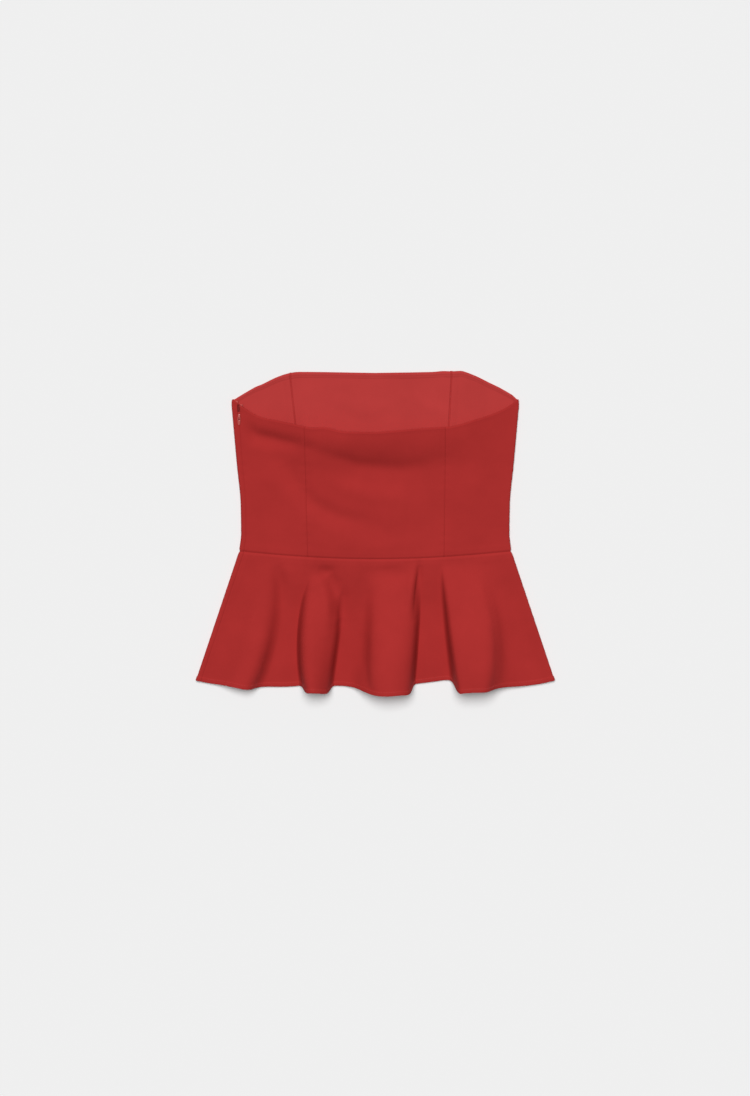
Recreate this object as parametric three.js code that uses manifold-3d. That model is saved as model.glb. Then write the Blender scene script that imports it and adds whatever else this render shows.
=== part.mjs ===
// A strapless peplum top, laid flat with its back panels uppermost, in millimetres.
// X runs across the garment, Y from the hem to the neckline, and Z up from the surface it lies on.
// Each level of the garment is one flattened ring: the front lies under, the back lies over it,
// and a soft fold joins them at each side. Every panel is a stretch of that ring with the cloth's thickness.
import * as THREE from "three";
import { mergeVertices } from "three/addons/utils/BufferGeometryUtils.js";
import Module from "manifold-3d";

// Cloth
const CLOTH = 1.2;
const SEAM_GAP = 0.3;
const SIDE_FOLD_RADIUS = 2.4;
const UNDER_LAYER = CLOTH / 2;
const OVER_LAYER = UNDER_LAYER + 2 * SIDE_FOLD_RADIUS;
const NESTED_LAYER = UNDER_LAYER + 2.4;

// Bodice, with heights measured up from the waist seam at the side
const SIDE_LENGTH = 210;
const FRONT_WAIST_DIP = 4;
const BACK_WAIST_DIP = 9;
const BODICE_SIDE = [
  { level: 0.0, halfWidth: 181.0 },
  { level: 0.12, halfWidth: 178.3 },
  { level: 0.3, halfWidth: 178.6 },
  { level: 0.58, halfWidth: 183.5 },
  { level: 0.8, halfWidth: 187.2 },
  { level: 1.0, halfWidth: 190.5 },
];
const NECKLINE = [
  { across: 0.0, frontRise: 36.5, backDip: 39.3 },
  { across: 0.25, frontRise: 37.3, backDip: 37.0 },
  { across: 0.45, frontRise: 37.9, backDip: 33.5 },
  { across: 0.6, frontRise: 38.0, backDip: 28.5 },
  { across: 0.68, frontRise: 33.5, backDip: 24.8 },
  { across: 0.8, frontRise: 22.5, backDip: 18.5 },
  { across: 0.92, frontRise: 9.5, backDip: 9.5 },
  { across: 1.0, frontRise: 0.0, backDip: 0.0 },
];
const PRINCESS_SEAMS = {
  frontLeft: { waistX: -88, topX: -113 },
  frontRight: { waistX: 88, topX: 101 },
  backLeft: { waistX: -90, topX: -94.5 },
  backRight: { waistX: 91.5, topX: 93 },
};
const RIGHT_SIDE_SEAM = 1.5;

// How the back panel stands up from the front: a general loft, a lifted neckline and the sag below it,
// both of them stronger towards the left by the lean
const BACK_LOFT = 5;
const NECK_LIFT = { height: 12, reach: 44 };
const NECK_LEAN = 0.3;
const NECK_SAG = { depth: 4, below: 60, reach: 25 };

// Peplum: x is given at the waist and at the hem, bow moves the line sideways halfway down,
// rise is its height at the hem, start is where it begins to rise and length is waist to hem.
// Every fold rises softly at first, then fast, and levels off at the hem.
const PEPLUM_FLARE = 59;
const PEPLUM_SIDE_LENGTH = 182;
const SOFT_START = 0.08;
const BACK_FOLDS = [
  { waistX: -166, hemX: -220, bow: 0, rise: 1, start: 0.1, length: 186 },
  { waistX: -160, hemX: -205, bow: 4, rise: 7, start: 0.06, length: 186 },
  { waistX: -153, hemX: -187, bow: 9, rise: 19, start: 0.03, length: 186 },
  { waistX: -146, hemX: -170, bow: 14, rise: 21, start: 0.03, length: 189 },
  { waistX: -134, hemX: -157, bow: 15.5, rise: 1, start: 0.03, length: 190.5 },
  { waistX: -124, hemX: -141, bow: 13, rise: 0, start: 0.1, length: 190.5 },
  { waistX: -104, hemX: -124, bow: 1, rise: 0, start: 0.1, length: 191 },
  { waistX: -88, hemX: -108, bow: -7, rise: 0, start: 0.12, length: 190 },
  { waistX: -78, hemX: -97.5, bow: -14, rise: 0, start: 0.12, length: 189 },
  { waistX: -73, hemX: -92.5, bow: -14, rise: 31, start: 0.12, length: 190 },
  { waistX: -65, hemX: -86, bow: -9, rise: 38, start: 0.12, length: 187 },
  { waistX: -56, hemX: -77.5, bow: -4, rise: 35, start: 0.13, length: 188.5 },
  { waistX: -48.5, hemX: -70.5, bow: -1, rise: 29, start: 0.15, length: 191 },
  { waistX: -42, hemX: -64.5, bow: 1, rise: 21, start: 0.16, length: 194 },
  { waistX: -37, hemX: -59, bow: 1.5, rise: 1, start: 0.16, length: 190 },
  { waistX: -30, hemX: -52, bow: 1, rise: 0, start: 0.15, length: 189 },
  { waistX: -21, hemX: -38, bow: 2, rise: 1, start: 0.1, length: 189.5 },
  { waistX: -12, hemX: -26, bow: 2, rise: 7, start: 0.1, length: 190 },
  { waistX: -4, hemX: -15, bow: 0, rise: 20, start: 0.09, length: 191 },
  { waistX: 5, hemX: -5, bow: -2, rise: 31, start: 0.08, length: 192 },
  { waistX: 16, hemX: 6, bow: -2, rise: 37, start: 0.07, length: 192 },
  { waistX: 28, hemX: 19, bow: 0, rise: 38.5, start: 0.06, length: 191.5 },
  { waistX: 39, hemX: 31, bow: 1, rise: 36, start: 0.04, length: 191 },
  { waistX: 48, hemX: 40.5, bow: 1.5, rise: 31, start: 0.03, length: 192.5 },
  { waistX: 54.5, hemX: 46, bow: 2.5, rise: 23, start: 0.02, length: 193.5 },
  { waistX: 60, hemX: 51, bow: 2.5, rise: 1, start: 0.02, length: 187 },
  { waistX: 64, hemX: 56, bow: 2, rise: 0, start: 0.04, length: 186.5 },
  { waistX: 72, hemX: 76, bow: 0, rise: 0, start: 0.05, length: 184 },
  { waistX: 80, hemX: 94, bow: -2, rise: 0, start: 0.05, length: 181 },
  { waistX: 85.5, hemX: 104, bow: -1.5, rise: 1, start: 0.04, length: 182 },
  { waistX: 90, hemX: 111, bow: -2, rise: 33, start: 0.04, length: 190 },
  { waistX: 97, hemX: 118, bow: -0.5, rise: 37, start: 0.04, length: 187.5 },
  { waistX: 110, hemX: 134, bow: 7, rise: 38.5, start: 0.04, length: 186 },
  { waistX: 120, hemX: 148, bow: 16, rise: 37, start: 0.04, length: 186.5 },
  { waistX: 128, hemX: 158, bow: 17, rise: 21, start: 0.04, length: 187 },
  { waistX: 139, hemX: 172, bow: 13, rise: 8, start: 0.05, length: 188.5 },
  { waistX: 153, hemX: 196, bow: 7, rise: 3.5, start: 0.08, length: 189 },
  { waistX: 166, hemX: 219, bow: 0, rise: 1, start: 0.08, length: 187 },
];
// The front's folds lie inside the back's, so each is lower and narrower than the one over it
const FRONT_FOLDS = [
  { waistX: -160, hemX: -200, bow: 0, rise: 0, start: 0.1, length: 180 },
  { waistX: -148, hemX: -181, bow: 4, rise: 8, start: 0.15, length: 180 },
  { waistX: -140, hemX: -166, bow: 6, rise: 8, start: 0.15, length: 180 },
  { waistX: -128, hemX: -148, bow: 5, rise: 0, start: 0.1, length: 180 },
  { waistX: -106, hemX: -110, bow: -1, rise: 0, start: 0.1, length: 180 },
  { waistX: -95, hemX: -99, bow: -2, rise: 0, start: 0.1, length: 180 },
  { waistX: -84, hemX: -89, bow: -2, rise: 20, start: 0.25, length: 180 },
  { waistX: -64, hemX: -73, bow: 2, rise: 20, start: 0.25, length: 180 },
  { waistX: -50, hemX: -64, bow: 2, rise: 0, start: 0.1, length: 180 },
  { waistX: -18, hemX: -30, bow: 1, rise: 0, start: 0.1, length: 180 },
  { waistX: 4, hemX: -4, bow: 0, rise: 12, start: 0.15, length: 180 },
  { waistX: 22, hemX: 18, bow: 0, rise: 22, start: 0.12, length: 180 },
  { waistX: 38, hemX: 38, bow: 0, rise: 20, start: 0.12, length: 180 },
  { waistX: 50, hemX: 47, bow: 1, rise: 0, start: 0.1, length: 178 },
  { waistX: 62, hemX: 60, bow: 0, rise: 0, start: 0.1, length: 176 },
  { waistX: 86, hemX: 105, bow: 1, rise: 0, start: 0.1, length: 176 },
  { waistX: 95, hemX: 115, bow: 1, rise: 0, start: 0.1, length: 176 },
  { waistX: 104, hemX: 122, bow: 0, rise: 20, start: 0.16, length: 178 },
  { waistX: 114, hemX: 139, bow: 4, rise: 18, start: 0.16, length: 178 },
  { waistX: 128, hemX: 158, bow: 6, rise: 0, start: 0.1, length: 178 },
  { waistX: 160, hemX: 205, bow: 0, rise: 0, start: 0.1, length: 178 },
];

// Zip in the left side seam: its seam lies on the upper face, a little inside the side fold
const ZIP = {
  inset: { waist: 6.2, top: 9.2 },
  mouthHalfWidth: 1.7,
  mouthLength: 27,
  tapeWidth: 6,
  tapeThickness: 0.7,
  tapeGap: 0.15,
  tapeEnd: 3,
};
const COIL = { width: 2.6, height: 1.3, top: 3.6, sliderGap: 1.2 };
const SLIDER = {
  below: 19,
  inner: { width: 3.6, length: 6.0, height: 1.3, top: 3.5 },
  neck: { width: 1.3, length: 5.0 },
  plate: { width: 3.0, length: 6.0, thickness: 0.5, bottom: 6.35 },
  bail: { width: 1.1, strap: 0.6, post: 0.7, windowLength: 3.4, windowHeight: 1.5 },
};
const PULL = {
  length: 10.5,
  width: 3.8,
  tipWidth: 2.8,
  thickness: 0.9,
  bar: 0.9,
  eyeLength: 3.2,
  eyeWidth: 1.9,
  droop: THREE.MathUtils.degToRad(3),
};

// Grids
const BODICE_ROWS = [0, 0.1, 0.2, 0.3, 0.4, 0.5, 0.6, 0.69, 0.77, 0.84, 0.885, 0.91, 0.94, 0.97, 1];
const PEPLUM_ROWS = [0, 0.06, 0.14, 0.23, 0.33, 0.44, 0.56, 0.68, 0.8, 0.9, 1];
const STEPS_PER_BACK_FOLD = 3;
const STEPS_PER_FRONT_FOLD = 2;
const STEPS_ROUND_SIDE = 6;
const STEPS_ROUND_HALF_SIDE = 3;

// Colours
const CLOTH_COLOUR = 0xac302e;
const TAPE_COLOUR = 0xb5403b;
const METAL_COLOUR = 0xa85450;

// Reads a named column of a table at a place along its key column, with no overshoot between rows.
function readTable(rows, key, place, column) {
  const last = rows.length - 1;
  const clamped = Math.min(Math.max(place, rows[0][key]), rows[last][key]);
  let row = 0;
  while (row < last - 1 && clamped > rows[row + 1][key]) row += 1;
  const slope = (i) => (rows[i + 1][column] - rows[i][column]) / (rows[i + 1][key] - rows[i][key]);
  const tangent = (i) => {
    if (i <= 0) return slope(0);
    if (i >= last) return slope(last - 1);
    const before = slope(i - 1);
    const after = slope(i);
    return before * after <= 0 ? 0 : (2 * before * after) / (before + after);
  };
  const span = rows[row + 1][key] - rows[row][key];
  const t = (clamped - rows[row][key]) / span;
  const eased = t * t * (3 - 2 * t);
  return (
    rows[row][column] * (1 - eased) +
    rows[row + 1][column] * eased +
    span * tangent(row) * t * (1 - t) * (1 - t) -
    span * tangent(row + 1) * t * t * (1 - t)
  );
}

// Half the ring's width along the middle of the cloth, and half the flat part between its side folds.
const bodiceHalfWidth = (level) => readTable(BODICE_SIDE, "level", level, "halfWidth") - CLOTH / 2;
const bodiceFlatHalf = (level) => bodiceHalfWidth(level) - SIDE_FOLD_RADIUS;
const peplumFlatHalf = (down) => bodiceFlatHalf(0) + PEPLUM_FLARE * down;

// A place on the ring is one number: -1 to 1 is the front from left to right, 1 to 2 the right fold,
// 2 to 4 the back from right to left, and 4 to 5 the left fold.
const frontPlace = (x, flatHalf) => x / flatHalf;
const backPlace = (x, flatHalf) => 3 - x / flatHalf;
const wrapPlace = (place) => ((((place + 1) % 6) + 6) % 6) - 1;

// How far the back stands above the side fold, at a fraction across and a level up the bodice.
function backRelief(across, level) {
  const cover = (1 - across * across) ** 1.5;
  const below = (1 - level) * (SIDE_LENGTH - NECKLINE[0].backDip + BACK_WAIST_DIP);
  const lift = NECK_LIFT.height * Math.exp(-((below / NECK_LIFT.reach) ** 2));
  const sag = NECK_SAG.depth * Math.exp(-(((below - NECK_SAG.below) / NECK_SAG.reach) ** 2));
  return cover * (BACK_LOFT + (lift - sag) * (1 - NECK_LEAN * across));
}

function sideFold(place, flatHalf, y) {
  const onRight = place < 3;
  const turn = onRight ? (place - 1.5) * Math.PI : (place - 3.5) * Math.PI;
  const centreX = onRight ? flatHalf : -flatHalf;
  return new THREE.Vector3(
    centreX + SIDE_FOLD_RADIUS * Math.cos(turn),
    y,
    UNDER_LAYER + SIDE_FOLD_RADIUS * (1 + Math.sin(turn)),
  );
}

// The middle of the bodice's cloth. Level 0 is the waist seam and level 1 the neckline.
function bodicePoint(anyPlace, level) {
  const place = wrapPlace(anyPlace);
  const flatHalf = bodiceFlatHalf(level);
  if (place <= 1) {
    const across = place;
    const rise = readTable(NECKLINE, "across", Math.abs(across), "frontRise");
    const waistY = -FRONT_WAIST_DIP * (1 - across * across);
    const y = waistY + level * (SIDE_LENGTH + rise - waistY);
    return new THREE.Vector3(across * flatHalf, y, UNDER_LAYER);
  }
  if (place < 2 || place > 4) return sideFold(place, flatHalf, level * SIDE_LENGTH);
  const across = 3 - place;
  const dip = readTable(NECKLINE, "across", Math.abs(across), "backDip");
  const waistY = -BACK_WAIST_DIP * (1 - across * across);
  const y = waistY + level * (SIDE_LENGTH - dip - waistY);
  return new THREE.Vector3(across * flatHalf, y, OVER_LAYER + backRelief(across, level));
}

// Adds a plain line at each side fold, so that a layer's folds run from edge to edge.
function foldLines(folds) {
  const edge = (side) => ({
    waistX: side * peplumFlatHalf(0),
    hemX: side * peplumFlatHalf(1),
    bow: 0,
    rise: 0,
    start: 0,
    length: PEPLUM_SIDE_LENGTH,
    isEdge: true,
  });
  return [edge(-1), ...folds, edge(1)];
}
const FRONT_LINES = foldLines(FRONT_FOLDS);
const BACK_LINES = foldLines(BACK_FOLDS);

// Where one fold line lies at a distance down the peplum, from 0 at the waist to 1 at the hem.
function linePoint(line, down, layer) {
  const x = line.waistX + (line.hemX - line.waistX) * down + 4 * line.bow * down * (1 - down);
  const across = line.waistX / peplumFlatHalf(0);
  const dip = layer === "back" ? BACK_WAIST_DIP : FRONT_WAIST_DIP;
  const y = -dip * (1 - across * across) * (1 - down) - line.length * down;
  const waistZ = layer === "back" ? OVER_LAYER + backRelief(across, 0) : UNDER_LAYER;
  const nestedZ = line.isEdge ? OVER_LAYER : NESTED_LAYER;
  const restZ = layer === "back" ? nestedZ : UNDER_LAYER;
  const settle = THREE.MathUtils.smoothstep(down, 0, 0.45);
  const grown = Math.max(0, (down - line.start) / (1 - line.start));
  const easing = ((1 + SOFT_START) * grown) / (grown + SOFT_START);
  const rise = line.rise * grown * (2 - grown) * easing;
  return new THREE.Vector3(x, y, waistZ + (restZ - waistZ) * settle + rise);
}

// A smooth section through the fold lines: a quadratic spline that rounds each line into the next.
function layerPoint(lines, along, down, layer) {
  const last = lines.length - 1;
  const nearest = Math.min(Math.max(Math.round(along), 0), last);
  const t = along - nearest + 0.5;
  const here = linePoint(lines[nearest], down, layer);
  const mirror = (near, far) => near.clone().multiplyScalar(2).sub(far);
  const before =
    nearest > 0
      ? linePoint(lines[nearest - 1], down, layer)
      : mirror(here, linePoint(lines[1], down, layer));
  const after =
    nearest < last
      ? linePoint(lines[nearest + 1], down, layer)
      : mirror(here, linePoint(lines[last - 1], down, layer));
  return before
    .multiplyScalar(0.5 * (1 - t) * (1 - t))
    .add(here.clone().multiplyScalar(0.5 + t - t * t))
    .add(after.multiplyScalar(0.5 * t * t));
}

// The middle of the peplum's cloth. Down is 0 at the waist seam and 1 at the hem.
function peplumPoint(anyPlace, down) {
  const place = wrapPlace(anyPlace);
  if (place <= 1) {
    return layerPoint(FRONT_LINES, ((place + 1) / 2) * (FRONT_LINES.length - 1), down, "front");
  }
  if (place < 2 || place > 4) return sideFold(place, peplumFlatHalf(down), -PEPLUM_SIDE_LENGTH * down);
  return layerPoint(BACK_LINES, ((4 - place) / 2) * (BACK_LINES.length - 1), down, "back");
}

// A point on the ring moved square to the cloth: positive is out of the garment, negative into it.
function offsetPoint(surface, place, level, distance) {
  const step = 1e-3;
  const round = surface(place + step, level).sub(surface(place - step, level));
  const along = surface(place, level + step).sub(surface(place, level - step));
  const out = along.cross(round).normalize();
  const upward = surface === peplumPoint ? -1 : 1;
  return surface(place, level).addScaledVector(out, upward * distance);
}

// A closed wall between two offsets of a surface, over a grid of places and levels.
function wallGeometry(surface, placesAt, levels, innerOffset, outerOffset) {
  const columns = placesAt(levels[0]).length;
  const rows = levels.length;
  const vertices = [];
  for (const offset of [outerOffset, innerOffset]) {
    for (const level of levels) {
      for (const place of placesAt(level)) {
        vertices.push(...offsetPoint(surface, place, level, offset).toArray());
      }
    }
  }
  const index = (skin, row, column) => skin * rows * columns + row * columns + column;
  const triangles = [];
  const quad = (a, b, c, d) => triangles.push(a, b, c, a, c, d);
  for (let row = 0; row < rows - 1; row += 1) {
    for (let column = 0; column < columns - 1; column += 1) {
      quad(
        index(0, row, column),
        index(0, row + 1, column),
        index(0, row + 1, column + 1),
        index(0, row, column + 1),
      );
      quad(
        index(1, row, column),
        index(1, row, column + 1),
        index(1, row + 1, column + 1),
        index(1, row + 1, column),
      );
    }
  }
  const lastRow = rows - 1;
  const lastColumn = columns - 1;
  for (let column = 0; column < lastColumn; column += 1) {
    quad(index(0, 0, column), index(0, 0, column + 1), index(1, 0, column + 1), index(1, 0, column));
    quad(
      index(0, lastRow, column + 1),
      index(0, lastRow, column),
      index(1, lastRow, column),
      index(1, lastRow, column + 1),
    );
  }
  for (let row = 0; row < lastRow; row += 1) {
    quad(index(0, row + 1, 0), index(0, row, 0), index(1, row, 0), index(1, row + 1, 0));
    quad(
      index(0, row, lastColumn),
      index(0, row + 1, lastColumn),
      index(1, row + 1, lastColumn),
      index(1, row, lastColumn),
    );
  }
  const geometry = new THREE.BufferGeometry();
  geometry.setAttribute("position", new THREE.Float32BufferAttribute(vertices, 3));
  geometry.setIndex(triangles);
  geometry.computeVertexNormals();
  return geometry;
}

// Evenly spaced places between each pair of stops, with the stops themselves kept.
function placesBetween(stops, counts) {
  const places = [stops[0]];
  counts.forEach((count, i) => {
    for (let step = 1; step <= count; step += 1) {
      places.push(stops[i] + ((stops[i + 1] - stops[i]) * step) / count);
    }
  });
  return places;
}

const clothMaterial = new THREE.MeshStandardMaterial({ color: CLOTH_COLOUR, roughness: 0.85 });
const tapeMaterial = new THREE.MeshStandardMaterial({ color: TAPE_COLOUR, roughness: 0.8 });
const metalMaterial = new THREE.MeshStandardMaterial({
  color: METAL_COLOUR,
  roughness: 0.35,
  metalness: 0.4,
});

const garment = new THREE.Group();

function addMesh(parent, name, geometry, material) {
  const mesh = new THREE.Mesh(geometry, material);
  mesh.name = name;
  parent.add(mesh);
  return mesh;
}

// Bodice panels
const halfGap = SEAM_GAP / 2;
const seamX = (seam, level) => seam.waistX + (seam.topX - seam.waistX) * level;
const princessFront = (seam, level, side) =>
  frontPlace(seamX(seam, level) + side * halfGap, bodiceFlatHalf(level));
const princessBack = (seam, level, side) =>
  backPlace(seamX(seam, level) + side * halfGap, bodiceFlatHalf(level));
const sideSeamGap = halfGap / (Math.PI * SIDE_FOLD_RADIUS);

// The zip's mouth opens above the slider and closes to a plain seam below it.
function zipMouth(level) {
  const mouthLevel = 1 - ZIP.mouthLength / SIDE_LENGTH;
  return ZIP.mouthHalfWidth * THREE.MathUtils.smoothstep(level, mouthLevel - 0.005, mouthLevel + 0.03);
}
function zipSeamX(level) {
  const inset = ZIP.inset.waist + (ZIP.inset.top - ZIP.inset.waist) * level ** 2;
  return -(bodiceHalfWidth(level) + CLOTH / 2 - inset);
}
const zipPlace = (level, aside) => backPlace(zipSeamX(level) + aside, bodiceFlatHalf(level));

const bodiceLevels = BODICE_ROWS.map((row) => row + (row === 0 ? halfGap / SIDE_LENGTH : 0));
const bodicePanels = {
  front_centre: (level) =>
    placesBetween(
      [
        princessFront(PRINCESS_SEAMS.frontLeft, level, 1),
        princessFront(PRINCESS_SEAMS.frontRight, level, -1),
      ],
      [8],
    ),
  front_side_right: (level) =>
    placesBetween(
      [princessFront(PRINCESS_SEAMS.frontRight, level, 1), 1, RIGHT_SIDE_SEAM - sideSeamGap],
      [8, 3],
    ),
  back_side_right: (level) =>
    placesBetween(
      [RIGHT_SIDE_SEAM + sideSeamGap, 2, princessBack(PRINCESS_SEAMS.backRight, level, 1)],
      [3, 6],
    ),
  back_centre: (level) =>
    placesBetween(
      [
        princessBack(PRINCESS_SEAMS.backRight, level, -1),
        princessBack(PRINCESS_SEAMS.backLeft, level, 1),
      ],
      [12],
    ),
  back_side_left: (level) =>
    placesBetween(
      [princessBack(PRINCESS_SEAMS.backLeft, level, -1), zipPlace(level, halfGap + zipMouth(level))],
      [7],
    ),
  front_side_left: (level) =>
    placesBetween(
      [
        zipPlace(level, -halfGap - zipMouth(level)),
        4,
        5,
        6 + princessFront(PRINCESS_SEAMS.frontLeft, level, -1),
      ],
      [1, STEPS_ROUND_SIDE, 8],
    ),
};
for (const [name, placesAt] of Object.entries(bodicePanels)) {
  const geometry = wallGeometry(bodicePoint, placesAt, bodiceLevels, -CLOTH / 2, CLOTH / 2);
  addMesh(garment, name, geometry, clothMaterial);
}

// Peplum panels, with rows from the hem up to the waist
const peplumLevels = PEPLUM_ROWS.map((row) => row + (row === 0 ? halfGap / PEPLUM_SIDE_LENGTH : 0));
peplumLevels.reverse();
const lineStep = (lines) => 2 / (lines.length - 1);

// The left side seam runs on from the zip, the same distance inside the side fold.
function leftSeamPlace(down, aside) {
  const seamInset = ZIP.inset.waist - SIDE_FOLD_RADIUS - CLOTH / 2 + aside;
  const firstLine = linePoint(BACK_LINES[1], down, "back").x;
  return 4 - (lineStep(BACK_LINES) * seamInset) / (firstLine + peplumFlatHalf(down));
}
const peplumPanels = {
  back_peplum: (down) =>
    placesBetween(
      [RIGHT_SIDE_SEAM + sideSeamGap, 2, 4 - lineStep(BACK_LINES), leftSeamPlace(down, halfGap)],
      [STEPS_ROUND_HALF_SIDE, STEPS_PER_BACK_FOLD * (BACK_LINES.length - 2), 2],
    ),
  front_peplum: (down) =>
    placesBetween(
      [leftSeamPlace(down, -halfGap), 4, 5, 7, 6 + RIGHT_SIDE_SEAM - sideSeamGap],
      [1, STEPS_ROUND_SIDE, STEPS_PER_FRONT_FOLD * (FRONT_LINES.length - 1), STEPS_ROUND_HALF_SIDE],
    ),
};
for (const [name, placesAt] of Object.entries(peplumPanels)) {
  const geometry = wallGeometry(peplumPoint, placesAt, peplumLevels, -CLOTH / 2, CLOTH / 2);
  addMesh(garment, name, geometry, clothMaterial);
}

// Zip tapes, sewn inside along both edges of the seam
const tapeTop = 1 - ZIP.tapeEnd / SIDE_LENGTH;
const tapeLevels = bodiceLevels.filter((level) => level < tapeTop).concat(tapeTop);
const tapeOuter = -CLOTH / 2 - ZIP.tapeGap;
const tapeInner = tapeOuter - ZIP.tapeThickness;
const tapeEdge = (level) => halfGap + zipMouth(level) + 0.2;
const tapes = {
  zip_tape_back: (level) =>
    placesBetween(
      [zipPlace(level, tapeEdge(level) + ZIP.tapeWidth), zipPlace(level, tapeEdge(level))],
      [1],
    ),
  zip_tape_front: (level) => placesBetween([zipPlace(level, -tapeEdge(level)), 4, 4.35], [1, 2]),
};
for (const [name, placesAt] of Object.entries(tapes)) {
  const geometry = wallGeometry(bodicePoint, placesAt, tapeLevels, tapeInner, tapeOuter);
  addMesh(garment, name, geometry, tapeMaterial);
}

// Zip coil, closed from the waist up to the slider
const sliderLevel = 1 - SLIDER.below / SIDE_LENGTH;
const coilTop = sliderLevel - (SLIDER.inner.length / 2 + COIL.sliderGap) / SIDE_LENGTH;
const coilLevels = bodiceLevels.filter((level) => level < coilTop).concat(coilTop);
const coilOuter = COIL.top - OVER_LAYER;
const coilPlaces = (level) =>
  placesBetween([zipPlace(level, COIL.width / 2), zipPlace(level, -COIL.width / 2)], [1]);
addMesh(
  garment,
  "zip_coil",
  wallGeometry(bodicePoint, coilPlaces, coilLevels, coilOuter - COIL.height, coilOuter),
  tapeMaterial,
);

const wasm = await Module();
wasm.setup();

// Joins closed meshes that share space into one body.
function joined(geometries) {
  const solids = geometries.map((geometry) => {
    geometry.deleteAttribute("normal");
    geometry.deleteAttribute("uv");
    const merged = mergeVertices(geometry, 1e-4);
    return new wasm.Manifold(
      new wasm.Mesh({
        numProp: 3,
        vertProperties: merged.attributes.position.array,
        triVerts: new Uint32Array(merged.index.array),
      }),
    );
  });
  const whole = solids.reduce((sum, solid) => sum.add(solid)).getMesh();
  const geometry = new THREE.BufferGeometry();
  geometry.setAttribute("position", new THREE.BufferAttribute(whole.vertProperties, 3));
  geometry.setIndex(new THREE.BufferAttribute(whole.triVerts, 1));
  geometry.computeVertexNormals();
  return geometry;
}

function rectanglePath(path, left, bottom, right, high) {
  path.moveTo(left, bottom).lineTo(right, bottom).lineTo(right, high).lineTo(left, high);
  path.closePath();
  return path;
}

// The slider: a body inside the seam, a neck through it, and a plate with the bail outside
function sliderGeometry() {
  const { inner, neck, plate, bail } = SLIDER;
  const box = (width, length, bottom, high) =>
    new THREE.BoxGeometry(width, length, high - bottom).translate(0, 0, (high + bottom) / 2);
  const plateTop = plate.bottom + plate.thickness;
  const bailHalf = bail.windowLength / 2 + bail.post;
  const bailTop = plateTop + bail.windowHeight + bail.strap;
  const outline = new THREE.Shape();
  outline.moveTo(-bailHalf, plate.bottom + 0.1);
  outline.lineTo(bailHalf, plate.bottom + 0.1);
  outline.lineTo(bailHalf, bailTop - bail.strap);
  outline.quadraticCurveTo(bailHalf, bailTop, bailHalf - bail.post, bailTop);
  outline.lineTo(bail.post - bailHalf, bailTop);
  outline.quadraticCurveTo(-bailHalf, bailTop, -bailHalf, bailTop - bail.strap);
  outline.closePath();
  const halfWindow = bail.windowLength / 2;
  const windowTop = plateTop + bail.windowHeight;
  outline.holes.push(rectanglePath(new THREE.Path(), -halfWindow, plateTop, halfWindow, windowTop));
  const arch = new THREE.ExtrudeGeometry(outline, {
    depth: bail.width,
    bevelEnabled: false,
    curveSegments: 4,
  });
  arch.translate(0, 0, -bail.width / 2);
  arch.rotateX(Math.PI / 2).rotateZ(Math.PI / 2);
  return joined([
    box(inner.width, inner.length, inner.top - inner.height, inner.top),
    box(neck.width, neck.length, inner.top - 0.2, plate.bottom + 0.2),
    box(plate.width, plate.length, plate.bottom, plateTop),
    arch,
  ]);
}

// The pull tab: a flat tab with an eye, whose end bar passes under the bail
function pullGeometry() {
  const barEdge = PULL.bar / 2;
  const tipRadius = PULL.tipWidth / 2;
  const tab = new THREE.Shape();
  tab.moveTo(PULL.width / 2, barEdge);
  tab.lineTo(-PULL.width / 2, barEdge);
  tab.lineTo(-PULL.width / 2, -PULL.eyeLength - PULL.bar);
  tab.lineTo(-tipRadius, tipRadius - PULL.length);
  tab.absarc(0, tipRadius - PULL.length, tipRadius, Math.PI, 2 * Math.PI, false);
  tab.lineTo(PULL.width / 2, -PULL.eyeLength - PULL.bar);
  tab.closePath();
  const eyeHalf = PULL.eyeWidth / 2;
  tab.holes.push(rectanglePath(new THREE.Path(), -eyeHalf, -barEdge - PULL.eyeLength, eyeHalf, -barEdge));
  const geometry = new THREE.ExtrudeGeometry(tab, {
    depth: PULL.thickness,
    bevelEnabled: false,
    curveSegments: 8,
  });
  return geometry.translate(0, 0, -PULL.thickness / 2);
}

const slider = new THREE.Group();
const sliderSeat = bodicePoint(zipPlace(sliderLevel, 0), sliderLevel);
slider.position.set(sliderSeat.x, sliderSeat.y, 0);
garment.add(slider);
addMesh(slider, "zip_slider", sliderGeometry(), metalMaterial);
const pull = addMesh(slider, "zip_pull", pullGeometry(), metalMaterial);
pull.position.z = SLIDER.plate.bottom + SLIDER.plate.thickness + SLIDER.bail.windowHeight / 2;
pull.rotation.x = PULL.droop;

// The origin is at the middle of the garment's outline, on the surface it lies on.
const top = new THREE.Group();
top.add(garment);
top.updateMatrixWorld(true);
const bounds = new THREE.Box3().setFromObject(top, true);
const middle = bounds.getCenter(new THREE.Vector3());
garment.position.set(-middle.x, -middle.y, -bounds.min.z);

export default top;
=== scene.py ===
import math

import bmesh
import bpy
from mathutils import Matrix, Vector, noise


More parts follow.
